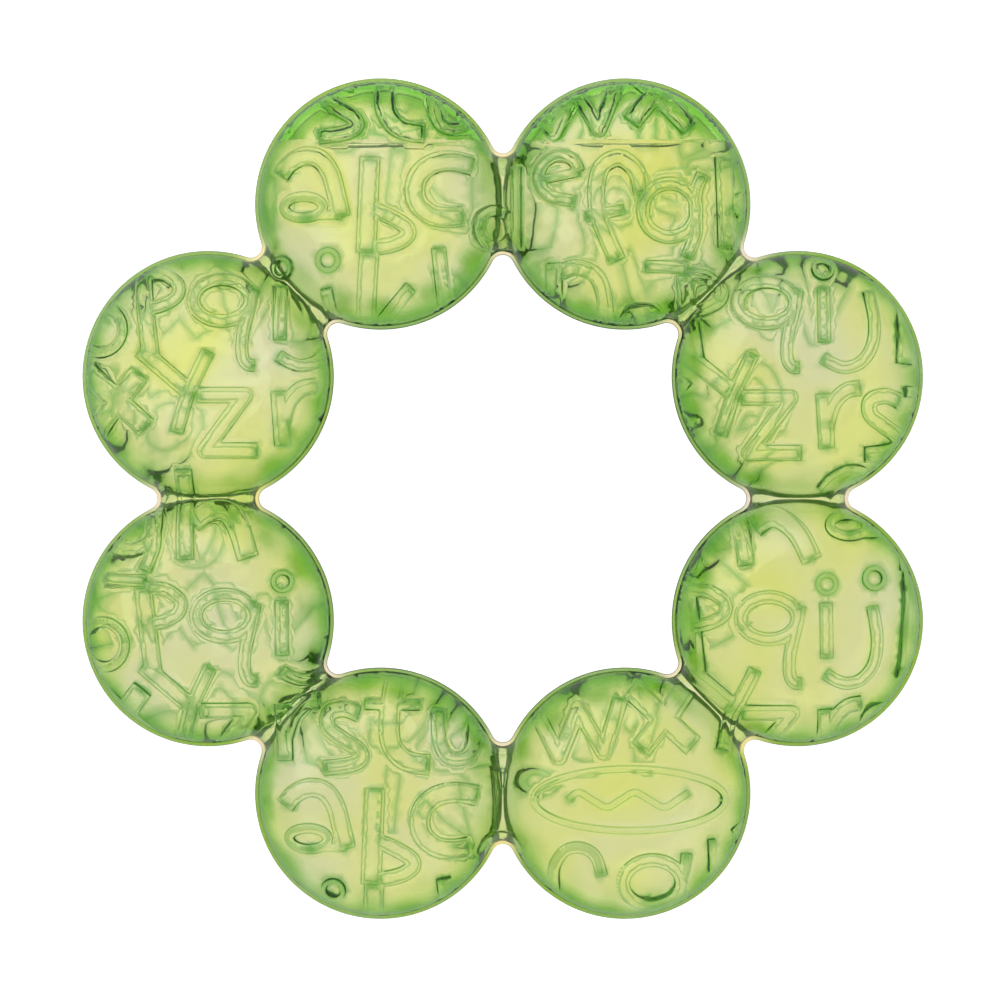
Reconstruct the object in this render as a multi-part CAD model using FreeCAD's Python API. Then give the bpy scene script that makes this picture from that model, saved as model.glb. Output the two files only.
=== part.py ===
import FreeCAD, Part
import math
import os

# A water-filled teething ring: eight cushion-shaped pods joined by short hollow necks.
# Two soft half shells are welded together round a seam in the middle plane.
# Lengths are in millimetres. +Z is the ring's axis, and the origin is the ring's centre
# on the seam plane.

# Driving dimensions of the ring
POD_COUNT = 8
PITCH_RADIUS = 39.85
POD_RADIUS = 15.25
HALF_THICKNESS = 7.5
WALL = 0.9

# Necks between neighbouring pods
NECK_HALF_WIDTH = 5.9
NECK_HALF_HEIGHT = 3.0
NECK_REACH = 3.2
NECK_EDGE_ROUND = 0.8
CHANNEL_REACH = 3.6

# Welded seam: a thin fin that stands out of both halves all the way round
FIN_WIDTH = 0.45
FIN_HALF_THICKNESS = 0.3

# Water level, measured along +Y from the ring's centre, with an air pocket beyond it
WATER_LEVEL_Y = 44.2

# Filling port in the back of the neck that lies on +Y, closed by a plug
PORT_Y = 33.4
PLUG_RADIUS = 1.2
PLUG_HEAD_RADIUS = 1.7
PLUG_HEAD_HEIGHT = 0.45
PLUG_TIP_DEPTH = 0.6

# Values that follow from the driving dimensions
POD_STEP_DEG = 360.0 / POD_COUNT
FIRST_POD_DEG = POD_STEP_DEG / 2
HALF_CHORD = PITCH_RADIUS * math.sin(math.radians(POD_STEP_DEG / 2))
NECK_CENTRE_RADIUS = PITCH_RADIUS * math.cos(math.radians(POD_STEP_DEG / 2))
FACE_RADIUS = POD_RADIUS - HALF_THICKNESS
RING_REACH = PITCH_RADIUS + POD_RADIUS + FIN_WIDTH

Z_AXIS = FreeCAD.Vector(0, 0, 1)
ORIGIN = FreeCAD.Vector(0, 0, 0)


def vec(x, y, z=0.0):
    return FreeCAD.Vector(x, y, z)


def fuse_all(shapes):
    """One solid from several that overlap."""
    return shapes[0].multiFuse(shapes[1:]).removeSplitter()


def at_each_pod(shape):
    """Copies of a shape, which stands at the ring's centre, at every pod's centre."""
    copies = []
    for index in range(POD_COUNT):
        angle = math.radians(FIRST_POD_DEG + index * POD_STEP_DEG)
        copy = shape.copy()
        copy.translate(vec(PITCH_RADIUS * math.cos(angle), PITCH_RADIUS * math.sin(angle)))
        copies.append(copy)
    return copies


def at_each_neck(shape):
    """Copies of a shape at every neck. Its X runs from pod to pod, and its Y runs outwards."""
    copies = []
    for index in range(POD_COUNT):
        copy = shape.copy()
        copy.translate(vec(0, NECK_CENTRE_RADIUS))
        copy.rotate(ORIGIN, Z_AXIS, index * POD_STEP_DEG)
        copies.append(copy)
    return copies


def half_cushion(inset):
    """Upper half of a pod with a flat face and a fully rounded rim, drawn in by inset."""
    rim = HALF_THICKNESS - inset
    outer = FACE_RADIUS + rim
    diagonal = rim * math.sqrt(0.5)
    rim_arc = Part.Arc(
        vec(outer, 0, 0),
        vec(FACE_RADIUS + diagonal, 0, diagonal),
        vec(FACE_RADIUS, 0, rim),
    )
    profile = Part.Wire([
        Part.makeLine(vec(0, 0, 0), vec(outer, 0, 0)),
        rim_arc.toShape(),
        Part.makeLine(vec(FACE_RADIUS, 0, rim), vec(0, 0, rim)),
        Part.makeLine(vec(0, 0, rim), vec(0, 0, 0)),
    ])
    return Part.Face(profile).revolve(ORIGIN, Z_AXIS, 360)


def waist_radius(disc_radius, half_width):
    """Radius of the hollow in plan that is tangent to two neighbouring pods' outlines."""
    gap = HALF_CHORD ** 2 - disc_radius ** 2 + half_width ** 2
    return gap / (2 * (disc_radius - half_width))


def neck_outline(disc_radius, half_width):
    """Face of a neck in plan: straight ends inside the pods, and a hollow on each side."""
    hollow = waist_radius(disc_radius, half_width)
    share = disc_radius / (disc_radius + hollow)
    tangent_x = HALF_CHORD * (1 - share)
    tangent_y = (half_width + hollow) * share
    right_top = vec(tangent_x, tangent_y)
    left_top = vec(-tangent_x, tangent_y)
    right_low = vec(tangent_x, -tangent_y)
    left_low = vec(-tangent_x, -tangent_y)
    outline = Part.Wire([
        Part.Arc(left_top, vec(0, half_width), right_top).toShape(),
        Part.makeLine(right_top, vec(NECK_REACH, tangent_y)),
        Part.makeLine(vec(NECK_REACH, tangent_y), vec(NECK_REACH, -tangent_y)),
        Part.makeLine(vec(NECK_REACH, -tangent_y), right_low),
        Part.Arc(right_low, vec(0, -half_width), left_low).toShape(),
        Part.makeLine(left_low, vec(-NECK_REACH, -tangent_y)),
        Part.makeLine(vec(-NECK_REACH, -tangent_y), vec(-NECK_REACH, tangent_y)),
        Part.makeLine(vec(-NECK_REACH, tangent_y), left_top),
    ])
    return Part.Face(outline)


def runs_across(edge):
    """True for an edge of a neck's straight end, which is buried in a pod."""
    box = edge.BoundBox
    return box.XLength < 1e-6 and abs(abs(box.XMax) - NECK_REACH) < 1e-6


def half_neck():
    """Upper half of a neck's outside, with its upper side edges rounded."""
    block = neck_outline(POD_RADIUS, NECK_HALF_WIDTH).extrude(vec(0, 0, NECK_HALF_HEIGHT))
    upper_edges = [
        edge
        for edge in block.Edges
        if edge.BoundBox.ZMin > NECK_HALF_HEIGHT - 1e-6 and not runs_across(edge)
    ]
    return block.makeFillet(NECK_EDGE_ROUND, upper_edges)


def half_channel():
    """Upper half of the water channel through a neck."""
    half_width = NECK_HALF_WIDTH - WALL
    height = NECK_HALF_HEIGHT - WALL
    block = Part.makeBox(
        2 * CHANNEL_REACH, 2 * half_width, height, vec(-CHANNEL_REACH, -half_width)
    )
    upper_edges = [
        edge
        for edge in block.Edges
        if edge.BoundBox.ZMin > height - 1e-6 and edge.BoundBox.YLength < 1e-6
    ]
    return block.makeFillet(NECK_EDGE_ROUND, upper_edges)


def half_fin():
    """Upper half of the seam fin, as a thin plate over the whole outline."""
    disc = Part.makeCylinder(POD_RADIUS + FIN_WIDTH, FIN_HALF_THICKNESS)
    outline = neck_outline(POD_RADIUS + FIN_WIDTH, NECK_HALF_WIDTH + FIN_WIDTH)
    strip = outline.extrude(vec(0, 0, FIN_HALF_THICKNESS))
    return fuse_all(at_each_pod(disc) + at_each_neck(strip))


def half_cavity():
    """Upper half of the sealed space: eight chambers joined by eight channels."""
    return fuse_all(at_each_pod(half_cushion(WALL)) + at_each_neck(half_channel()))


def half_shell():
    """Upper half shell without the filling port."""
    skin = fuse_all(at_each_pod(half_cushion(0.0)) + at_each_neck(half_neck()) + [half_fin()])
    return skin.cut(half_cavity())


def mirrored(shape):
    """The same shape on the other side of the seam plane."""
    return shape.mirror(ORIGIN, Z_AXIS)


def fill_plug():
    """Plug that closes the filling port: a low round head on the back, and a shank inwards."""
    shank_length = WALL + PLUG_TIP_DEPTH
    head_base = vec(0, PORT_Y, -NECK_HALF_HEIGHT - PLUG_HEAD_HEIGHT)
    shank = Part.makeCylinder(PLUG_RADIUS, shank_length, vec(0, PORT_Y, -NECK_HALF_HEIGHT))
    head = Part.makeCylinder(PLUG_HEAD_RADIUS, PLUG_HEAD_HEIGHT, head_base)
    return fuse_all([shank, head])


def water_fill(plug):
    """Water in the chambers and channels, less the air pocket and the plug's tip."""
    upper = half_cavity()
    whole = fuse_all([upper, mirrored(upper)])
    pocket = Part.makeBox(
        2 * RING_REACH,
        RING_REACH,
        2 * HALF_THICKNESS,
        vec(-RING_REACH, WATER_LEVEL_Y, -HALF_THICKNESS),
    )
    return whole.cut(pocket).cut(plug)


def save(name, shape):
    """Writes one node after checking that it is a single closed solid."""
    solid = shape.Solids[0]
    if len(shape.Solids) != 1 or not solid.isValid():
        raise ValueError(name + " is not one valid solid")
    solid.exportStep("parts/" + name + ".step")
    print(name, "volume", round(solid.Volume, 1), "mm3")


def main():
    os.makedirs("parts", exist_ok=True)
    plug = fill_plug()
    shell = half_shell()
    save("front_shell", shell)
    save("back_shell", mirrored(shell).cut(plug))
    save("water_fill", water_fill(plug))
    save("fill_plug", plug)


main()
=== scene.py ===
import math
from collections import namedtuple

import bmesh
import bpy
import numpy as np
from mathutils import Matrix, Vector
from mathutils.geometry import delaunay_2d_cdt


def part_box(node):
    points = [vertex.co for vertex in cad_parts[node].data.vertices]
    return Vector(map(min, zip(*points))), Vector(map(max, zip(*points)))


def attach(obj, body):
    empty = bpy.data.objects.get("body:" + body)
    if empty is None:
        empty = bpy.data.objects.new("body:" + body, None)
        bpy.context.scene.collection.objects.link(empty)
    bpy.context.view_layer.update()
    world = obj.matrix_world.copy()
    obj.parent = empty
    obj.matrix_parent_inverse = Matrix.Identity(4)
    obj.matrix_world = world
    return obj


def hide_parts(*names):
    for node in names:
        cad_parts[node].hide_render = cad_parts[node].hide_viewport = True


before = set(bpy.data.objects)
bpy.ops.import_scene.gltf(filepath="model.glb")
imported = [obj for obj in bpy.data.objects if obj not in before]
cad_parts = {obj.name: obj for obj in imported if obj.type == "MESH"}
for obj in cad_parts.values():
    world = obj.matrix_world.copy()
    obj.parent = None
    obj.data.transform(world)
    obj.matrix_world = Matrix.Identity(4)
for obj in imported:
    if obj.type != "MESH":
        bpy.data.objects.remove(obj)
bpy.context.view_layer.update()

# The teething ring's visible pieces: two clear green shells with raised letters, the water
# inside them, and the plug of the filling port. The shapes are worked out in millimetres, in
# the CAD model's frame, and become metres when a mesh is made.
MM = 0.001

# Plan of the ring, as in the CAD model. The pitch radius follows from the CAD box.
POD_COUNT = 8
POD_RADIUS = 15.25
FIN_WIDTH = 0.45
FIN_HALF_THICKNESS = 0.3
NECK_HALF_WIDTH = 5.9
WALL = 0.9
SHELL_LOW, SHELL_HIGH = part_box("front_shell")
POD_STEP = 2 * math.pi / POD_COUNT
PITCH_RADIUS = (SHELL_HIGH[0] / MM - POD_RADIUS - FIN_WIDTH) / math.cos(POD_STEP / 2)
HALF_CHORD = PITCH_RADIUS * math.sin(POD_STEP / 2)
NECK_CENTRE_RADIUS = PITCH_RADIUS * math.cos(POD_STEP / 2)

# Heights over the seam plane. The raised letters reach the CAD faces, and stand on a body
# that is lower by their own height. The soft faces are slightly wavy.
FACE_HEIGHT = SHELL_HIGH[2] / MM
LETTER_HEIGHT = 0.4
BODY_HEIGHT = FACE_HEIGHT - LETTER_HEIGHT
NECK_HEIGHT = 2.9
NECK_EDGE = 2.2
VALLEY_BLEND = 1.2
VALLEY_FADE = 1.2
LEAST_RIM_DEPTH = 0.02
WAVE_HEIGHT = 0.03
WAVE_FADE = 6.0

# Seam: the fin's rounded edge as steps in from its tip and down from its top, the small step
# that keeps a crease crisp, and how far each half reaches into the other at the weld
FIN_EDGE = ((0.08, 0.0), (0.02, 0.04), (0.0, 0.12))
CREASE_STEP = 0.03
SEAM_OVERLAP = 0.01

# Water, a hair wider than the cavity, and level at the edge of the air pocket
WATER_OVERLAP = 0.03
WATER_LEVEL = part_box("water_fill")[1][1] / MM

# Raised strokes: the skin's inner wall follows those of the front, a little further in. Those
# of the back are lower and softer. The line reach is how wide the painted shade along an edge is,
# in place of the dark lines that refraction at the slopes gives, and the tip growth how much
# wider it gets at a stroke's ends and round a dot.
Relief = namedtuple("Relief", "height slope line_reach tip_growth")
FRONT_RELIEF = Relief(height=LETTER_HEIGHT, slope=0.12, line_reach=0.07, tip_growth=2.2)
INNER_RELIEF = Relief(height=0.25, slope=0.12, line_reach=0.07, tip_growth=2.2)
BACK_RELIEF = Relief(height=0.22, slope=0.26, line_reach=0.25, tip_growth=0.0)
NO_RELIEF = Relief(height=0.0, slope=0.12, line_reach=0.07, tip_growth=0.0)
INNER_GAP = 0.5
RELIEF_FADE = 2.6
MAX_SIDE_GROWTH = 1.5
TIP_REACH = 0.9
TIP_FAR = 4 * TIP_REACH
DOT_SIZE = 2.6

# Rows of letters: the two steps at which they repeat, how far the back's are shifted, how far
# from the ring's centre a stroke must reach, and how far along a stroke its square cut is felt,
# in half widths
STEP_ACROSS = np.array([66.9, -0.3])
STEP_UP = np.array([-0.3, 38.8])
BACK_SHIFT = np.array([21.0, 13.0])
HOLE_REACH = 18.0
CUT_REACH = 1.7
CURVE_STEPS = 7
RING_POINTS = 49

# Map of the distance to the strokes' edges. A point beyond it is read just inside its last cell.
MAP_REACH = 54.0
MAP_SPACING = 0.1
MAP_FAR = 1.4
MAP_END = 1.001

# Mesh points: rows along the outline and the strokes' edges, and grids between them
WAIST_POINTS = 12
OUTER_ARC_POINTS = 96
INNER_ARC_POINTS = 46
RIM_ROW_ANGLES = (2.8, 8, 15, 23, 32, 41, 51)
CONTOUR_OFFSETS = (-0.12, -0.04, 0.04, 0.12)
CONTOUR_TOLERANCE = 0.03
CONTOUR_CLEARANCE = 0.34
CONTOUR_MARGIN = 0.06
SMALLEST_REACH = 0.1
ROW_SPACING = 0.36
BASE_SPACING = 0.8
NECK_GRID_REACH = 2.9
NECK_SPACING = 0.32
MERGE_CELL = 0.05
MERGE_DISTANCE = 1e-5
OUTLINE_BAND = 0.1
EDGE_TOLERANCE = 1e-3
WELD_DISTANCE = 1e-7

# Colours of the plastic, and of the painted shade at its rims and along its raised lines. The
# body green is what a thick piece of it lets through.
FACE_TINT = (0.99, 0.865, 0.83)
FACE_YELLOW = (0.995, 0.885, 0.54)
YELLOW_PATCHES_PER_M = 75.0
YELLOW_FROM = 0.38
YELLOW_TO = 0.68
# Painted shade at the rims
PAINTED_RIM_TINT = (0.2, 0.5, 0.02)
# Painted shade along raised edges
PAINTED_LINE_TINT = (0.1, 0.4, 0.06)
BODY_GREEN = (0.4, 0.91, 0.12)
BODY_DENSITY = 300.0
PLASTIC_IOR = 1.49
PLASTIC_ROUGHNESS = 0.03
PLASTIC_CLEARNESS = 0.975
WATER_IOR = 1.333

# Painted shade along raised edges, in place of the dark lines that refraction at their slopes
# gives: full in the air pocket, and a little less under water
WET_LINE_SHADE = 0.85
AIR_LINE_GROWTH = 0.8
AIR_FADE = 0.6
LINE_FADE = 3.0

# Painted shade at the rims, in place of the darker green that long paths and refraction through
# the edge-on plastic give there: a band, and a broken crescent on the side of the ring's centre.
# It leaves out a strip across each neck, and is weaker on the seam fin.
RIM_REACH = 1.7
RIM_STRENGTH = 1.35
RIM_FALL = 1.7
RIM_UNEVENNESS = 0.3
CRESCENT_DEPTH = 2.6
CRESCENT_REACH = 0.8
CRESCENT_SHADE = 0.4
CRESCENT_FROM = 0.45
CRESCENT_BLEND = 0.3
CRESCENT_SHARE = 0.3
CRESCENT_BREAKS = 1.2
POD_MIDDLE = 0.1
NECK_STRIP = 0.5
NECK_RAMP = 2.4
FIN_SHADE = 0.55
FIN_BLEND = 0.2
# Mesh attributes that carry the painted shade along raised edges and at the rims
SHADE_NAMES = ("painted_line_shade", "painted_rim_shade")

# Studio, in metres and watts. The camera stands over the front, off the middle by a hair.
FLOOR_HALF = 2.0
FLOOR_GREY = 0.5
FLOOR_ROUGHNESS = 0.9
FLOOR_GLOW = 1.0
WORLD_STRENGTH = 0.5
KEY_PLACE = (-0.35, 0.45, 0.8)
KEY_SIZE = 1.2
KEY_POWER = 3.2
CAMERA_PLACE = (-0.344 * MM, -0.175 * MM, 416.7 * MM)
CAMERA_LENS = 120
CAMERA_SENSOR = 36
CAMERA_NEAR = 0.01
LIGHT_BOUNCES = 24


def pod_centre(index):
    """Centre in plan of pod number index."""
    angle = (index + 0.5) * POD_STEP
    return PITCH_RADIUS * math.cos(angle), PITCH_RADIUS * math.sin(angle)


def waist_radius():
    """Radius in plan of the hollow on each side of a neck, tangent to both pods."""
    gap = HALF_CHORD ** 2 - POD_RADIUS ** 2 + NECK_HALF_WIDTH ** 2
    return gap / (2 * (POD_RADIUS - NECK_HALF_WIDTH))


WAIST_RADIUS = waist_radius()
WAIST_CENTRE = NECK_HALF_WIDTH + WAIST_RADIUS
WAIST_HALF_ANGLE = math.atan2(HALF_CHORD, WAIST_CENTRE)


def fold_to_neck(x, y):
    """Places points beside the nearest neck: along its chord, and outwards from its centre."""
    reach = np.hypot(x, y)
    angle = np.arctan2(y, x)
    off = angle - np.round(angle / POD_STEP) * POD_STEP
    return np.abs(reach * np.sin(off)), reach * np.cos(off) - NECK_CENTRE_RADIUS


def depth_in_pod(x, y):
    """How far inside the nearest pod's outline a point is."""
    along, out = fold_to_neck(x, y)
    return POD_RADIUS - np.hypot(HALF_CHORD - along, out)


def depth_in_plan(x, y):
    """How far inside the whole outline a point is, with the hollows beside the necks."""
    along, out = fold_to_neck(x, y)
    across = WAIST_CENTRE - np.abs(out)
    in_waist = np.arctan2(along, across) < WAIST_HALF_ANGLE
    waist_depth = np.hypot(along, across) - WAIST_RADIUS
    return np.where(in_waist, waist_depth, POD_RADIUS - np.hypot(HALF_CHORD - along, out))


def smooth_step(value):
    """0 up to 0, 1 from 1 on, and an even rise between them without a kink."""
    t = np.clip(value, 0, 1)
    return t * t * (3 - 2 * t)


def waviness(x, y):
    """Slow unevenness of a soft moulded face, as two crossed waves of different length."""
    long_wave = np.sin(0.83 * x + 0.4 * y + 1.3) * np.sin(0.71 * y - 0.2 * x + 0.4)
    short_wave = np.sin(1.37 * x - 0.9 * y) * np.sin(1.19 * y + 0.7 * x + 2.1)
    return WAVE_HEIGHT * (long_wave + 0.6 * short_wave)


def body_height(x, y, inset):
    """Height of a pod's cushion or a neck, whichever is higher, on a surface set in by inset."""
    rim = BODY_HEIGHT - inset
    pod_depth = depth_in_pod(x, y) - inset
    plan_depth = np.maximum(depth_in_plan(x, y) - inset, 0)
    into_rim = np.clip(rim - pod_depth, 0, rim)
    pod = np.sqrt(rim ** 2 - into_rim ** 2)
    edge = 1 - np.clip(plan_depth / NECK_EDGE, 0, 1)
    neck = (NECK_HEIGHT - inset) * np.sqrt(1 - edge ** 2)
    blend = VALLEY_BLEND * np.clip(plan_depth / VALLEY_FADE, 0, 1)
    either = (pod + neck + np.sqrt((pod - neck) ** 2 + blend ** 2)) / 2
    return either + waviness(x, y) * smooth_step(pod_depth / WAVE_FADE)


def side_growth(x, y, inset):
    """How much more a relief rises in Z on a steep side, so that it stands off along the normal."""
    rim = BODY_HEIGHT - inset
    pod_depth = np.clip(depth_in_pod(x, y) - inset, LEAST_RIM_DEPTH, rim)
    height = np.sqrt(rim ** 2 - (rim - pod_depth) ** 2)
    return np.clip(rim / height, 1, MAX_SIDE_GROWTH)


# ---------------------------------------------------------------------------------------------
# Raised strokes: plain letters from a to z, laid over the whole ring in rows of an alphabet that
# repeats. A stroke is its centre line, its width, and whether it closes on itself.


def stroke(points, width, closed=False):
    """A stroke with a straight piece from each point to the next."""
    return np.array(points, dtype=float), width / 2, closed


def straight(width, *points):
    """An open stroke with sharp corners."""
    return stroke(points, width)


def curve(width, *points):
    """A smooth stroke through the points."""
    ends = [points[0]] + list(points) + [points[-1]]
    knots = np.array(ends, dtype=float)
    t = np.linspace(0, 1, CURVE_STEPS, endpoint=False)[:, None]
    line = []
    for before, start, end, after in zip(knots, knots[1:], knots[2:], knots[3:]):
        bend = 2 * before - 5 * start + 4 * end - after
        twist = 3 * start - before - 3 * end + after
        line.append(start + t / 2 * (end - before + t * (bend + t * twist)))
    line.append(knots[-1:])
    return stroke(np.concatenate(line), width)


def ring(width, cx, cy, rx, ry):
    """A closed oval stroke round a centre."""
    angles = np.linspace(0, 2 * math.pi, RING_POINTS)
    points = np.column_stack([cx + rx * np.cos(angles), cy + ry * np.sin(angles)])
    return stroke(points, width, closed=True)


def dot(width, x, y):
    """A round dot with a dimple in it."""
    return ring(0.2 * width, x, y, 0.38 * width, 0.38 * width)


ALPHABET = [
    # a
    curve(2.3, (-26.8, -37.8), (-25.7, -36.4), (-23.8, -35.5), (-21.9, -35.9),
          (-20.6, -37.6), (-19.9, -40.0), (-19.2, -43.0)),
    ring(1.2, -23.9, -41.8, 2.4, 1.3),
    straight(1.0, (-23.5, -42.9), (-19.2, -42.8)),
    # b
    straight(2.5, (-15.7, -35.6), (-16.2, -47.4)),
    curve(1.9, (-15.6, -42.0), (-13.4, -42.9), (-11.3, -44.2), (-11.1, -45.3), (-12.6, -46.3),
          (-15.4, -46.9)),
    # c
    curve(2.5, (-3.1, -36.6), (-5.6, -36.1), (-8.0, -36.5), (-9.7, -37.9), (-10.2, -39.8),
          (-9.7, -41.5), (-8.1, -42.8), (-6.2, -43.1), (-4.2, -42.9)),
    # d
    ring(1.3, -0.9, 33.4, 2.1, 2.2),
    straight(1.3, (1.6, 41.0), (1.6, 31.0)),
    # e
    straight(1.1, (5.0, 39.2), (9.4, 40.1)),
    curve(1.5, (9.4, 40.1), (8.6, 41.6), (6.9, 42.2), (5.2, 41.4), (4.4, 39.8), (4.8, 38.1),
          (6.2, 37.0), (8.9, 36.5)),
    # f
    curve(2.1, (17.1, 37.4), (16.4, 40.2), (14.4, 41.8), (12.3, 40.9), (11.5, 38.4),
          (11.7, 35.0), (12.9, 31.8), (14.1, 29.2)),
    straight(1.3, (10.2, 34.6), (14.9, 35.5)),
    # g
    ring(1.6, 20.5, 35.4, 3.3, 3.3),
    curve(1.6, (24.6, 39.9), (23.7, 37.6), (23.7, 35.0), (23.7, 32.5), (22.6, 29.6)),
    straight(1.5, (22.8, 28.4), (17.5, 28.5)),
    # h
    straight(2.2, (27.2, 42.1), (27.6, 31.0)),
    curve(2.6, (28.4, 35.6), (30.4, 36.9), (32.6, 36.8), (34.1, 34.7), (35.3, 31.2)),
    # i
    straight(1.6, (-27.2, -12.5), (-27.1, -19.3)),
    dot(2.9, -27.1, -10.2),
    # j
    curve(1.5, (45.1, 25.6), (45.7, 21.6), (45.3, 18.6), (43.9, 16.7), (42.1, 16.1),
          (40.6, 16.5), (39.3, 17.3)),
    dot(3.2, 45.4, 29.0),
    # k
    straight(2.4, (-16.4, 30.2), (-17.3, 16.9)),
    straight(1.6, (-15.0, 21.8), (-11.3, 26.0)),
    # l
    straight(1.8, (-7.9, 30.8), (-7.0, 22.5)),
    # n
    straight(2.0, (6.3, 29.0), (6.4, 20.0)),
    curve(1.9, (7.2, 27.9), (9.3, 28.4), (11.5, 27.3), (12.5, 24.8), (12.9, 21.0)),
    # o
    ring(1.3, 17.3, 20.5, 2.8, 2.8),
    # p
    straight(2.2, (-44.2, -11.0), (-42.9, -21.5)),
    curve(1.6, (-44.0, -11.0), (-41.4, -11.2), (-39.6, -12.6), (-39.9, -14.1), (-41.7, -15.1),
          (-43.6, -15.5)),
    # q
    ring(1.6, -34.2, -14.4, 3.5, 2.6),
    curve(1.5, (-30.4, -12.9), (-30.8, -15.2), (-31.6, -18.6), (-31.7, -21.1), (-31.1, -22.3),
          (-30.2, -22.4)),
    # r
    straight(2.0, (-27.2, -25.6), (-26.8, -32.3)),
    curve(1.9, (-26.8, -29.4), (-26.0, -26.9), (-24.5, -25.3), (-22.7, -24.9)),
    # s
    curve(1.9, (-17.7, -26.5), (-19.6, -25.9), (-21.4, -26.5), (-21.4, -28.2), (-19.6, -29.6),
          (-17.8, -30.8), (-17.4, -31.9), (-18.8, -32.7), (-22.0, -33.1)),
    # t
    curve(2.5, (-13.3, -21.9), (-13.9, -26.5), (-13.8, -29.8), (-12.5, -31.8), (-10.8, -32.5),
          (-9.0, -32.7)),
    straight(1.3, (-17.0, -25.3), (-10.2, -25.4)),
    # u
    curve(1.7, (-8.0, -26.1), (-7.8, -29.6), (-6.9, -31.6), (-5.2, -32.0), (-3.8, -30.9),
          (-3.4, -28.0), (-3.9, -25.5)),
    # w
    straight(1.9, (4.3, -26.8), (6.9, -31.8), (9.3, -25.9), (12.4, -31.2), (14.5, -24.6)),
    # x
    straight(2.7, (15.8, -23.4), (23.4, -30.4)),
    straight(2.7, (22.6, -23.7), (16.9, -30.8)),
    # y
    straight(2.1, (22.4, 18.0), (28.1, 13.1)),
    straight(1.7, (30.7, 17.8), (28.3, 12.8), (26.8, 7.8)),
    # z
    straight(1.9, (29.3, 12.4), (35.3, 12.4), (30.3, 5.6), (36.7, 5.6)),
]

# Where the rows are uneven, these parts of the plan are left clear for strokes of their own.
CLEARINGS = (
    ((1.5, 30.0), (-56.0, -33.0)),
    ((26.5, 39.0), (-9.0, 0.0)),
    ((3.0, 25.0), (44.0, 56.0)),
)
OWN_STROKES = [
    # A plain wave in an oval, and parts of letters under it
    ring(0.8, 15.6, -37.0, 11.8, 3.8),
    curve(0.8, (8.0, -37.0), (9.3, -36.1), (11.0, -37.0), (12.8, -37.9), (14.5, -37.0),
          (16.2, -36.1), (18.0, -37.0), (19.8, -37.9), (21.5, -37.0), (22.8, -36.1)),
    curve(1.4, (6.4, -49.0), (6.3, -45.6), (7.6, -43.3), (9.7, -42.9), (11.4, -44.0),
          (12.2, -46.4)),
    ring(1.6, 18.4, -47.3, 3.6, 2.9),
    curve(1.4, (22.6, -43.6), (22.4, -45.5), (21.9, -47.5), (22.2, -50.0)),
    straight(1.0, (25.7, -41.9), (26.0, -46.2)),
    # h
    straight(2.0, (29.0, -0.5), (29.9, -8.2)),
    curve(2.6, (31.0, -3.4), (33.4, -2.2), (36.1, -4.0), (38.0, -7.6)),
    # w and x
    straight(1.9, (3.6, 49.6), (6.3, 45.0), (8.9, 50.6), (11.8, 45.3), (14.2, 51.4)),
    straight(2.4, (16.6, 52.4), (23.0, 45.6)),
    straight(2.4, (20.6, 52.4), (15.8, 46.2)),
]


def over_ring(points):
    """Whether a stroke lies near the ring's band."""
    reach = np.hypot(points[:, 0], points[:, 1])
    return reach.max() > HOLE_REACH and reach.min() < MAP_REACH + 1


def in_a_clearing(points):
    """Whether a stroke's middle lies in one of the clearings."""
    x, y = points.mean(axis=0)
    return any(left < x < right and low < y < high for (left, right), (low, high) in CLEARINGS)


def repeated(strokes):
    """The strokes at every step across and up that reaches the ring."""
    found = []
    for across in (-2, -1, 0, 1, 2):
        for up in (-3, -2, -1, 0, 1, 2, 3):
            for points, half_width, closed in strokes:
                moved = points + across * STEP_ACROSS + up * STEP_UP
                if over_ring(moved):
                    found.append((moved, half_width, closed))
    return found


def front_strokes():
    """Raised strokes of the front: the rows of letters, and the strokes of its own."""
    letters = [item for item in repeated(ALPHABET) if not in_a_clearing(item[0])]
    return letters + OWN_STROKES


def back_strokes():
    """Raised strokes of the back: the same letters, shifted, and turned to be read from there."""
    turned = []
    for points, half_width, closed in repeated(ALPHABET):
        turned.append(((points + BACK_SHIFT) * (-1, 1), half_width, closed))
    return [item for item in turned if over_ring(item[0])]


# ---------------------------------------------------------------------------------------------
# Map of the distance to the strokes' edges, negative inside a stroke


def paint_strokes(strokes):
    """A square grid of the signed distance to the nearest edge of any stroke."""
    count = int(2 * MAP_REACH / MAP_SPACING) + 1
    line = np.linspace(-MAP_REACH, MAP_REACH, count)
    field = np.full((count, count), MAP_FAR)
    for points, half_width, closed in strokes:
        low = points.min(axis=0) - half_width - MAP_FAR
        high = points.max(axis=0) + half_width + MAP_FAR
        x_from, y_from = np.searchsorted(line, low)
        x_to, y_to = np.searchsorted(line, high)
        if x_from == x_to or y_from == y_to:
            continue
        x, y = np.meshgrid(line[x_from:x_to], line[y_from:y_to])
        edge = stroke_edge(x, y, points, half_width, closed)
        window = field[y_from:y_to, x_from:x_to]
        np.minimum(window, edge, out=window)
    return field


def stroke_edge(x, y, points, half_width, closed):
    """Signed distance to one stroke's edge. An open stroke's ends are cut off square."""
    nearest = np.hypot(x - points[0][0], y - points[0][1])
    for start, end in zip(points, points[1:]):
        step = end - start
        along = ((x - start[0]) * step[0] + (y - start[1]) * step[1]) / (step @ step)
        t = np.clip(along, 0, 1)
        distance = np.hypot(x - start[0] - t * step[0], y - start[1] - t * step[1])
        nearest = np.minimum(nearest, distance)
    edge = nearest - half_width
    if closed:
        return edge
    for tip, outwards in stroke_tips(points):
        past_tip = (x - tip[0]) * outwards[0] + (y - tip[1]) * outwards[1]
        beside_tip = np.hypot(x - tip[0], y - tip[1]) < CUT_REACH * half_width
        edge = np.where(beside_tip, np.maximum(edge, past_tip), edge)
    return edge


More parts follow.
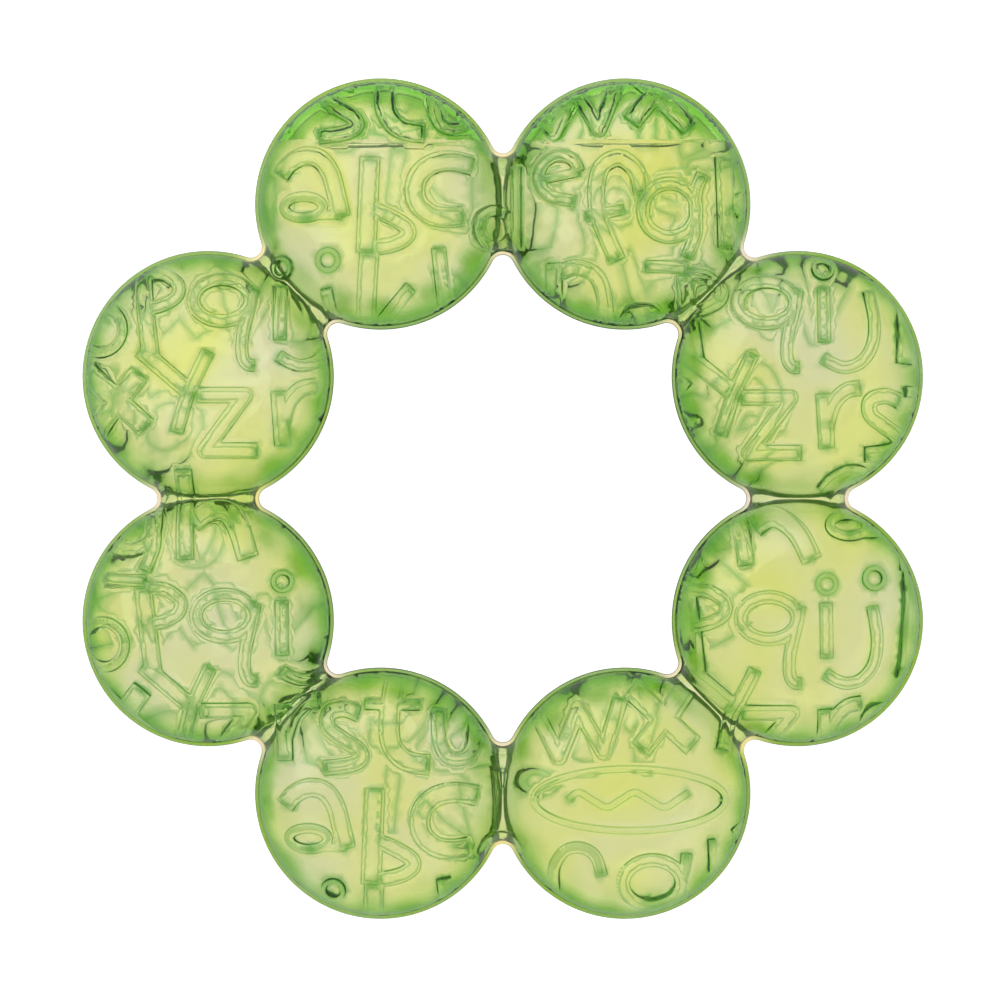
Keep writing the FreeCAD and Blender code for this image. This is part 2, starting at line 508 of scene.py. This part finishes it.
def stroke_tips(points):
    """Both ends of an open stroke, and the direction out of each."""
    tips = []
    for tip, before in ((points[0], points[1]), (points[-1], points[-2])):
        tips.append((tip, (tip - before) / np.linalg.norm(tip - before)))
    return tips


def read_map(field, x, y):
    """The field at any points, between grid lines too."""
    col = np.clip((x + MAP_REACH) / MAP_SPACING, 0, field.shape[1] - MAP_END)
    row = np.clip((y + MAP_REACH) / MAP_SPACING, 0, field.shape[0] - MAP_END)
    c = col.astype(int)
    r = row.astype(int)
    fc = col - c
    fr = row - r
    low = field[r, c] * (1 - fc) + field[r, c + 1] * fc
    high = field[r + 1, c] * (1 - fc) + field[r + 1, c + 1] * fc
    return low * (1 - fr) + high * fr


def surface_height(field, x, y, inset, gap, relief):
    """Height of a shell's outer or inner surface, with its strokes."""
    edge = read_map(field, x, y) + gap
    rise = smooth_step((relief.slope - edge) / (2 * relief.slope))
    fade = smooth_step((depth_in_plan(x, y) - inset) / RELIEF_FADE)
    raised = relief.height * rise * fade * side_growth(x, y, inset)
    return body_height(x, y, inset) + raised


# ---------------------------------------------------------------------------------------------
# Mesh points in plan


def waist_arc(index, side, depth):
    """Edge of the hollow beside neck number index, on its outer (+1) or inner (-1) side."""
    turns = np.linspace(-WAIST_HALF_ANGLE, WAIST_HALF_ANGLE, WAIST_POINTS + 1)[:-1]
    reach = WAIST_RADIUS + depth
    along = reach * np.sin(turns)
    out = NECK_CENTRE_RADIUS + side * (WAIST_CENTRE - reach * np.cos(turns))
    angle = index * POD_STEP
    x = out * math.cos(angle) - along * math.sin(angle)
    y = out * math.sin(angle) + along * math.cos(angle)
    return np.stack([x, y], axis=1)


def pod_arc(index, side, depth):
    """Edge of pod number index, on the ring's outer (+1) or inner (-1) side."""
    if side > 0:
        half = WAIST_HALF_ANGLE + POD_STEP / 2
        turns = np.linspace(-half, half, OUTER_ARC_POINTS + 1)[:-1]
    else:
        first = math.pi - WAIST_HALF_ANGLE + POD_STEP / 2
        turns = np.linspace(-first, first - 2 * math.pi, INNER_ARC_POINTS + 1)[:-1]
    cx, cy = pod_centre(index)
    angles = turns + (index + 0.5) * POD_STEP
    reach = POD_RADIUS - depth
    return np.stack([cx + reach * np.cos(angles), cy + reach * np.sin(angles)], axis=1)


def outline_loops(depth):
    """The outer and the inner edge of the plan, moved inwards by depth."""
    loops = []
    for side in (1, -1):
        arcs = []
        for index in range(POD_COUNT):
            arcs += [waist_arc(index, side, depth), pod_arc(index, side, depth)]
        loops.append(np.concatenate(arcs))
    return loops


def stroke_samples(points):
    """Points along a stroke at even spacing, its corners too, and the direction at each."""
    samples = []
    headings = []
    for start, end in zip(points, points[1:]):
        step = end - start
        parts = max(1, round(np.linalg.norm(step) / ROW_SPACING))
        for part in range(parts):
            samples.append(start + step * part / parts)
            headings.append(math.atan2(step[1], step[0]))
    samples.append(points[-1])
    headings.append(headings[-1])
    return np.array(samples), np.array(headings)


def side_rows(points, reach):
    """Points at one distance all round a stroke's centre line."""
    samples, headings = stroke_samples(points)
    count = 2 * max(4, round(math.pi * reach / ROW_SPACING))
    rows = []
    for turn in np.arange(count) * 2 * math.pi / count + math.pi / 2:
        x = samples[:, 0] + reach * np.cos(headings + turn)
        y = samples[:, 1] + reach * np.sin(headings + turn)
        rows.append(np.stack([x, y], axis=1))
    return rows


def tip_rows(points, reach, half_width):
    """Points along the square ends of a stroke, for the same distance as its side rows."""
    rows = []
    for tip, outwards in stroke_tips(points):
        sideways = np.array([-outwards[1], outwards[0]])
        count = max(3, round(2 * reach / ROW_SPACING) + 1)
        across = np.linspace(-reach, reach, count)[:, None]
        rows.append(tip + outwards * (reach - half_width) + sideways * across)
    return rows


def contour_rows(strokes, field, gap):
    """Points in rows along the slopes of every stroke, where only its own edge is nearest."""
    rows = [np.empty((0, 2))]
    for points, half_width, closed in strokes:
        for offset in CONTOUR_OFFSETS:
            reach = half_width - gap + offset
            if reach < SMALLEST_REACH:
                continue
            found = side_rows(points, reach)
            if not closed:
                found += tip_rows(points, reach, half_width)
            found = np.concatenate(found)
            level = read_map(field, found[:, 0], found[:, 1]) + gap
            rows.append(found[np.abs(level - offset) < CONTOUR_TOLERANCE])
    return np.concatenate(rows)


def square_grid(reach, spacing):
    """A grid of points over the whole plan, with every other row shifted by half a step."""
    line = np.arange(-reach, reach, spacing)
    x, y = np.meshgrid(line, line)
    x = x + (np.arange(len(line)) % 2)[:, None] * spacing / 2
    return np.stack([x.ravel(), y.ravel()], axis=1)


def neck_grid():
    """A fine grid over every neck's valley."""
    along, out = np.meshgrid(
        np.arange(-NECK_GRID_REACH, NECK_GRID_REACH, NECK_SPACING),
        np.arange(-NECK_HALF_WIDTH, NECK_HALF_WIDTH, NECK_SPACING),
    )
    grids = []
    for index in range(POD_COUNT):
        angle = index * POD_STEP
        reach = NECK_CENTRE_RADIUS + out.ravel()
        x = reach * math.cos(angle) - along.ravel() * math.sin(angle)
        y = reach * math.sin(angle) + along.ravel() * math.cos(angle)
        grids.append(np.stack([x, y], axis=1))
    return np.concatenate(grids)


def inside_plan(points, depth):
    """The points that lie further inside the plan than depth."""
    return points[depth_in_plan(points[:, 0], points[:, 1]) > depth]


def rim_depth(inset, angle_deg):
    """Depth in plan of a point on the rim's arc, at an angle up from the seam plane."""
    return inset + (BODY_HEIGHT - inset) * (1 - math.cos(math.radians(angle_deg)))


def rim_rows(inset):
    """Points in rows along the outline, closer together where the rim is steep."""
    rows = []
    for angle in RIM_ROW_ANGLES:
        rows += outline_loops(rim_depth(inset, angle))
    return np.concatenate(rows)


def base_grid(inset):
    """A coarse grid over the pods, inside the rim's rows and clear of the necks' grids."""
    last_row = rim_depth(inset, RIM_ROW_ANGLES[-1])
    grid = inside_plan(square_grid(MAP_REACH, BASE_SPACING), last_row + BASE_SPACING / 2)
    along, _ = fold_to_neck(grid[:, 0], grid[:, 1])
    return grid[along > NECK_GRID_REACH]


def without_doubles(points):
    """The points, less those that share a small cell with an earlier one."""
    cells = np.round(points / MERGE_CELL).astype(int)
    _, first = np.unique(cells, axis=0, return_index=True)
    return points[np.sort(first)]


def plan_points(strokes, field, inset, gap):
    """All mesh points of one surface in plan, the edge loops first, and the loops' lengths."""
    loops = outline_loops(inset)
    contours = inside_plan(contour_rows(strokes, field, gap), inset + CONTOUR_MARGIN)
    necks = inside_plan(neck_grid(), inset + NECK_SPACING)
    fills = np.concatenate([rim_rows(inset), necks, base_grid(inset)])
    clear = np.abs(read_map(field, fills[:, 0], fills[:, 1]) + gap) > CONTOUR_CLEARANCE
    inner = without_doubles(np.concatenate([contours, fills[clear]]))
    return np.concatenate(loops + [inner]), [len(loop) for loop in loops]


def inside_loop(points, loop):
    """Whether points are in a closed loop: lines to their right cross it an odd number of times."""
    x, y = points.T
    inside = np.zeros(len(x), dtype=bool)
    for (x0, y0), (x1, y1) in zip(loop, np.roll(loop, -1, axis=0)):
        if y0 != y1:
            crossing_x = x0 + (y - y0) * (x1 - x0) / (y1 - y0)
            inside ^= ((y0 > y) != (y1 > y)) & (x < crossing_x)
    return inside


def loop_edges(lengths):
    """Pairs of neighbouring point numbers round loops of these lengths, one after another."""
    edges = []
    start = 0
    for length in lengths:
        edges += [(start + i, start + (i + 1) % length) for i in range(length)]
        start += length
    return edges


def triangulate(points, loop_lengths, inset):
    """Triangles between the points, inside the outer edge loop and outside the inner one."""
    edges = loop_edges(loop_lengths)
    found = delaunay_2d_cdt([Vector(p) for p in points], edges, [], 0, MERGE_DISTANCE)
    points = np.array([tuple(v) for v in found[0]])
    faces = np.array([f for f in found[2] if len(f) == 3])
    middle = points[faces].mean(axis=1)
    depth = depth_in_plan(middle[:, 0], middle[:, 1]) - inset
    keep = depth > 0
    beside = np.flatnonzero(np.abs(depth) < OUTLINE_BAND)
    outer, inner = outline_loops(inset)
    keep[beside] = inside_loop(middle[beside], outer) & ~inside_loop(middle[beside], inner)
    return points, faces[keep]


# ---------------------------------------------------------------------------------------------
# Surfaces and closed meshes


def tips_and_dots(strokes):
    """The ends of open strokes, and the middles of round dots, each with its own radius."""
    found = []
    for points, _, closed in strokes:
        if not closed:
            found += [(points[0], 0.0), (points[-1], 0.0)]
        elif np.ptp(points[:, 0]) <= DOT_SIZE:
            found.append(((points.min(axis=0) + points.max(axis=0)) / 2, DOT_SIZE / 2))
    return found


def near_tip(strokes, x, y):
    """1 at the ends of open strokes and on round dots, falling to 0 a little way off."""
    nearest = np.full(len(x), TIP_FAR)
    for middle, radius in tips_and_dots(strokes):
        away = np.hypot(x - middle[0], y - middle[1]) - radius
        nearest = np.minimum(nearest, np.maximum(away, 0))
    return np.exp(-(nearest / TIP_REACH) ** 2)


def painted_line_shade(strokes, field, x, y, gap, relief):
    """Painted shade along the strokes' edges, for refraction's dark lines, most beside the air
    pocket.
    """
    edge = read_map(field, x, y) + gap
    fade = smooth_step(depth_in_plan(x, y) / LINE_FADE)
    in_air = smooth_step((y - WATER_LEVEL) / AIR_FADE)
    tip = near_tip(strokes, x, y)
    growth = relief.tip_growth * tip + AIR_LINE_GROWTH * in_air
    shade = np.exp(-(edge / (relief.line_reach * (1 + growth))) ** 2)
    return fade * shade * (WET_LINE_SHADE + (1 - WET_LINE_SHADE) * np.maximum(in_air, tip))


def towards_centre(x, y):
    """1 where a pod's rim faces the ring's centre, 0 on its other sides."""
    along, out = fold_to_neck(x, y)
    across = HALF_CHORD - along
    inwards = across * math.sin(POD_STEP / 2) - out * math.cos(POD_STEP / 2)
    facing = inwards / np.hypot(across, out).clip(POD_MIDDLE)
    return smooth_step((facing - CRESCENT_FROM) / CRESCENT_BLEND)


def unevenness(x, y):
    """Slow change of the painted rim shade along the rims, from -1 to 1."""
    return np.sin(0.9 * x + 0.5 * y) * np.sin(0.7 * y - 0.35 * x + 1.7)


def painted_rim_shade(x, y):
    """Painted shade at the pods' rims and in a crescent, less on a narrow strip across each neck.
    """
    along, _ = fold_to_neck(x, y)
    depth = np.clip(depth_in_pod(x, y), 0, None)
    uneven = unevenness(x, y)
    reach = RIM_REACH * (1 + RIM_UNEVENNESS * uneven)
    band = RIM_STRENGTH * np.exp(-(depth / reach) ** RIM_FALL)
    # A broken crescent of painted shade inside the rims that face the ring's centre
    crescent = np.exp(-((depth - CRESCENT_DEPTH) / CRESCENT_REACH) ** 2)
    crescent *= towards_centre(x, y) * smooth_step(CRESCENT_SHARE + CRESCENT_BREAKS * uneven)
    strip = smooth_step((along - NECK_STRIP) / NECK_RAMP)
    in_plan = FIN_SHADE + (1 - FIN_SHADE) * smooth_step(depth_in_plan(x, y) / FIN_BLEND)
    return strip * in_plan * np.minimum(band + CRESCENT_SHADE * crescent, 1)


def make_patch(strokes, inset, gap, relief):
    """One surface over the whole plan: its points, its triangles, and the painted shades at its
    points.
    """
    field = paint_strokes(strokes)
    points, loop_lengths = plan_points(strokes, field, inset, gap)
    points, faces = triangulate(points, loop_lengths, inset)
    x, y = points.T
    heights = surface_height(field, x, y, inset, gap, relief)
    lines = painted_line_shade(strokes, field, x, y, gap, relief)
    shades = np.column_stack([lines, painted_rim_shade(x, y)])
    return np.column_stack([points, heights]), faces, shades


def with_edge_height(patch, inset, height):
    """The patch with both its edge loops at one height."""
    points, faces, shades = patch
    points = points.copy()
    on_edge = depth_in_plan(points[:, 0], points[:, 1]) < inset + EDGE_TOLERANCE
    points[on_edge, 2] = height
    return points, faces, shades


def edge_strips(profile):
    """Quads that follow a profile of depths and heights all along both edges of the plan."""
    vertices = []
    faces = []
    rows = [(outline_loops(depth), height) for depth, height in profile]
    for side in (0, 1):
        start = sum(len(part) for part in vertices)
        count = len(rows[0][0][side])
        for loops, height in rows:
            vertices.append(np.column_stack([loops[side], np.full(count, height)]))
        for row in range(len(rows) - 1):
            low = start + row * count
            for i in range(count):
                after = (i + 1) % count
                faces.append((low + i, low + after, low + count + after, low + count + i))
    vertices = np.concatenate(vertices)
    x, y = vertices[:, 0], vertices[:, 1]
    return vertices, faces, np.column_stack([np.zeros(len(x)), painted_rim_shade(x, y)])


def welded(parts):
    """A bmesh of all the parts, joined where their points meet, with its normals outwards."""
    faces = []
    count = 0
    for points, part_faces, _ in parts:
        faces += [tuple(int(i) + count for i in face) for face in part_faces]
        count += len(points)
    mesh = bpy.data.meshes.new("parts")
    mesh.from_pydata(np.concatenate([points for points, _, _ in parts]) * MM, [], faces)
    shades = np.concatenate([part_shades for _, _, part_shades in parts])
    for name, values in zip(SHADE_NAMES, shades.T):
        mesh.attributes.new(name, "FLOAT", "POINT").data.foreach_set("value", values)
    bm = bmesh.new()
    bm.from_mesh(mesh)
    bpy.data.meshes.remove(mesh)
    bmesh.ops.remove_doubles(bm, verts=bm.verts, dist=WELD_DISTANCE)
    bmesh.ops.recalc_face_normals(bm, faces=bm.faces)
    return bm


def finish_piece(name, bm, material, node):
    """A smooth object from a bmesh, riding on the ring's body in place of a CAD node."""
    mesh = bpy.data.meshes.new(name)
    bm.to_mesh(mesh)
    bm.free()
    mesh.polygons.foreach_set("use_smooth", [True] * len(mesh.polygons))
    mesh.materials.append(material)
    piece = bpy.data.objects.new(name, mesh)
    bpy.context.scene.collection.objects.link(piece)
    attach(piece, "root")
    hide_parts(node)
    return piece


def seam_profile():
    """Depths and heights round the seam fin of an upper half, and back along the weld face."""
    edge = [(step - FIN_WIDTH, FIN_HALF_THICKNESS - drop) for step, drop in FIN_EDGE]
    return [(0.0, FIN_HALF_THICKNESS), (-CREASE_STEP, FIN_HALF_THICKNESS)] + edge + [
        (-FIN_WIDTH, 0.0),
        (-FIN_WIDTH, -SEAM_OVERLAP),
        (CREASE_STEP - FIN_WIDTH, -SEAM_OVERLAP),
        (WALL - CREASE_STEP, -SEAM_OVERLAP),
        (WALL, -SEAM_OVERLAP),
    ]


def shell_piece(name, outer, inner, side, material, node):
    """A half shell: outer and inner surface, and the seam fin with the weld face between."""
    parts = [
        with_edge_height(outer, 0.0, FIN_HALF_THICKNESS),
        with_edge_height(inner, WALL, -SEAM_OVERLAP),
        edge_strips(seam_profile()),
    ]
    turned = [(points * (1, 1, side), faces, shades) for points, faces, shades in parts]
    return finish_piece(name, welded(turned), material, node)


def pushed_out(patch, distance):
    """The patch moved along its own normals."""
    points, faces, shades = patch
    corners = [points[faces[:, i]] for i in range(3)]
    cross = np.cross(corners[1] - corners[0], corners[2] - corners[0])
    normals = np.zeros_like(points)
    for i in range(3):
        np.add.at(normals, faces[:, i], cross)
    normals /= np.linalg.norm(normals, axis=1, keepdims=True)
    return points + distance * normals, faces, shades


def water_half(inner):
    """Half of the water's skin, a hair wider than the cavity so that no gap shows."""
    points, faces, shades = pushed_out(inner, WATER_OVERLAP)
    edge = np.concatenate(outline_loops(WALL - WATER_OVERLAP))
    points[:len(edge), :2] = edge
    points[:len(edge), 2] = 0
    return points, faces, shades


def water_piece(front_inner, back_inner, material):
    """The water of both halves, cut off level at the edge of the air pocket."""
    front = water_half(front_inner)
    back_points, back_faces, back_shades = water_half(back_inner)
    bm = welded([front, (back_points * (1, 1, -1), back_faces, back_shades)])
    geometry = bm.verts[:] + bm.edges[:] + bm.faces[:]
    cut = bmesh.ops.bisect_plane(
        bm,
        geom=geometry,
        plane_co=(0, WATER_LEVEL * MM, 0),
        plane_no=(0, 1, 0),
        clear_outer=True,
    )
    edges = [item for item in cut["geom_cut"] if isinstance(item, bmesh.types.BMEdge)]
    bmesh.ops.holes_fill(bm, edges=edges)
    bmesh.ops.recalc_face_normals(bm, faces=bm.faces)
    return finish_piece("water_body", bm, material, "water_fill")


# ---------------------------------------------------------------------------------------------
# Materials


def new_material(name):
    """A node material, with its nodes, its links and its main shader."""
    material = bpy.data.materials.new(name)
    material.use_nodes = True
    nodes = material.node_tree.nodes
    return material, nodes, material.node_tree.links, nodes["Principled BSDF"]


def mix_node(nodes, links, factor, second):
    """A colour mix towards the second colour."""
    mix = nodes.new("ShaderNodeMix")
    mix.data_type = "RGBA"
    mix.clamp_factor = True
    links.new(factor, mix.inputs["Factor"])
    mix.inputs["B"].default_value = (*second, 1)
    return mix


def patchy_tint(nodes, links):
    """The tint of the faces, with soft yellower patches."""
    place = nodes.new("ShaderNodeTexCoord")
    noise = nodes.new("ShaderNodeTexNoise")
    noise.inputs["Scale"].default_value = YELLOW_PATCHES_PER_M
    noise.inputs["Detail"].default_value = 1.0
    links.new(place.outputs["Object"], noise.inputs["Vector"])
    spread = nodes.new("ShaderNodeMapRange")
    spread.inputs["From Min"].default_value = YELLOW_FROM
    spread.inputs["From Max"].default_value = YELLOW_TO
    links.new(noise.outputs["Fac"], spread.inputs["Value"])
    mix = mix_node(nodes, links, spread.outputs["Result"], FACE_YELLOW)
    mix.inputs["A"].default_value = (*FACE_TINT, 1)
    return mix.outputs["Result"]


def tint_between(nodes, links, first, second, shade):
    """A colour that goes from the first to the second as one of the mesh's painted shades rises."""
    attribute = nodes.new("ShaderNodeAttribute")
    attribute.attribute_name = shade
    mix = mix_node(nodes, links, attribute.outputs["Fac"], second)
    links.new(first, mix.inputs["A"])
    return mix.outputs["Result"]


def clear_plastic():
    """Soft clear green plastic, with painted shade where it is seen edge-on at rims and raised
    lines.
    """
    material, nodes, links, shader = new_material("clear_green_plastic")
    face = patchy_tint(nodes, links)
    # Painted shade at the rims, then along raised edges, over the faces' tint
    rim = tint_between(nodes, links, face, PAINTED_RIM_TINT, "painted_rim_shade")
    tint = tint_between(nodes, links, rim, PAINTED_LINE_TINT, "painted_line_shade")
    links.new(tint, shader.inputs["Base Color"])
    shader.inputs["Transmission Weight"].default_value = PLASTIC_CLEARNESS
    shader.inputs["IOR"].default_value = PLASTIC_IOR
    shader.inputs["Roughness"].default_value = PLASTIC_ROUGHNESS
    absorption = nodes.new("ShaderNodeVolumeAbsorption")
    absorption.inputs["Color"].default_value = (*BODY_GREEN, 1)
    absorption.inputs["Density"].default_value = BODY_DENSITY
    links.new(absorption.outputs["Volume"], nodes["Material Output"].inputs["Volume"])
    return material


def clear_water():
    """Colourless clear water."""
    material, _, _, shader = new_material("clear_water")
    shader.inputs["Base Color"].default_value = (1, 1, 1, 1)
    shader.inputs["Transmission Weight"].default_value = 1
    shader.inputs["IOR"].default_value = WATER_IOR
    shader.inputs["Roughness"].default_value = 0.0
    return material


# ---------------------------------------------------------------------------------------------
# Floor, light and camera


def floor_material():
    """Pale matt floor that glows a little, like a light table."""
    material, _, _, shader = new_material("pale_floor")
    shader.inputs["Base Color"].default_value = (FLOOR_GREY, FLOOR_GREY, FLOOR_GREY, 1)
    shader.inputs["Roughness"].default_value = FLOOR_ROUGHNESS
    shader.inputs["Emission Color"].default_value = (1, 1, 1, 1)
    shader.inputs["Emission Strength"].default_value = FLOOR_GLOW
    return material


def make_floor():
    """A square floor under the ring's back face, which its glossy rims don't mirror."""
    half = FLOOR_HALF
    z = -FACE_HEIGHT * MM
    mesh = bpy.data.meshes.new("floor")
    corners = [(-half, -half, z), (half, -half, z), (half, half, z), (-half, half, z)]
    mesh.from_pydata(corners, [], [(0, 1, 2, 3)])
    mesh.materials.append(floor_material())
    floor = bpy.data.objects.new("floor", mesh)
    bpy.context.scene.collection.objects.link(floor)
    floor.visible_glossy = False


def add_area_light(name, place, size, power):
    """A round soft lamp that points at the ring."""
    light = bpy.data.lights.new(name, "AREA")
    light.shape = "DISK"
    light.size = size
    light.energy = power
    lamp = bpy.data.objects.new(name, light)
    lamp.location = place
    lamp.rotation_euler = (-Vector(place)).to_track_quat("-Z", "Y").to_euler()
    bpy.context.scene.collection.objects.link(lamp)


def make_world():
    """Even white light from all round."""
    world = bpy.data.worlds.new("studio")
    world.use_nodes = True
    background = world.node_tree.nodes["Background"]
    background.inputs["Color"].default_value = (1, 1, 1, 1)
    background.inputs["Strength"].default_value = WORLD_STRENGTH
    bpy.context.scene.world = world


def make_camera():
    """Straight down on the ring's front, far enough for little perspective."""
    data = bpy.data.cameras.new("camera")
    data.lens = CAMERA_LENS
    data.sensor_width = CAMERA_SENSOR
    data.clip_start = CAMERA_NEAR
    camera = bpy.data.objects.new("camera", data)
    camera.location = CAMERA_PLACE
    bpy.context.scene.collection.objects.link(camera)
    bpy.context.scene.camera = camera


def set_view():
    """Plain colours, and enough bounces for the light to pass both shells and the water."""
    scene = bpy.context.scene
    scene.view_settings.view_transform = "Standard"
    scene.cycles.max_bounces = LIGHT_BOUNCES
    scene.cycles.transmission_bounces = LIGHT_BOUNCES


# ---------------------------------------------------------------------------------------------
# The ring


def build_ring():
    """Both shells, the water between them, and the plug, which stays as the CAD made it."""
    letters = front_strokes()
    front_outer = make_patch(letters, 0.0, 0.0, FRONT_RELIEF)
    front_inner = make_patch(letters, WALL, INNER_GAP, INNER_RELIEF)
    back_outer = make_patch(back_strokes(), 0.0, 0.0, BACK_RELIEF)
    back_inner = make_patch([], WALL, 0.0, NO_RELIEF)
    plastic = clear_plastic()
    shell_piece("front_skin", front_outer, front_inner, 1, plastic, "front_shell")
    shell_piece("back_skin", back_outer, back_inner, -1, plastic, "back_shell")
    water_piece(front_inner, back_inner, clear_water())
    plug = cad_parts["fill_plug"]
    plug.data.materials.clear()
    plug.data.materials.append(plastic)


build_ring()
make_floor()
make_world()
add_area_light("key", KEY_PLACE, KEY_SIZE, KEY_POWER)
make_camera()
set_view()
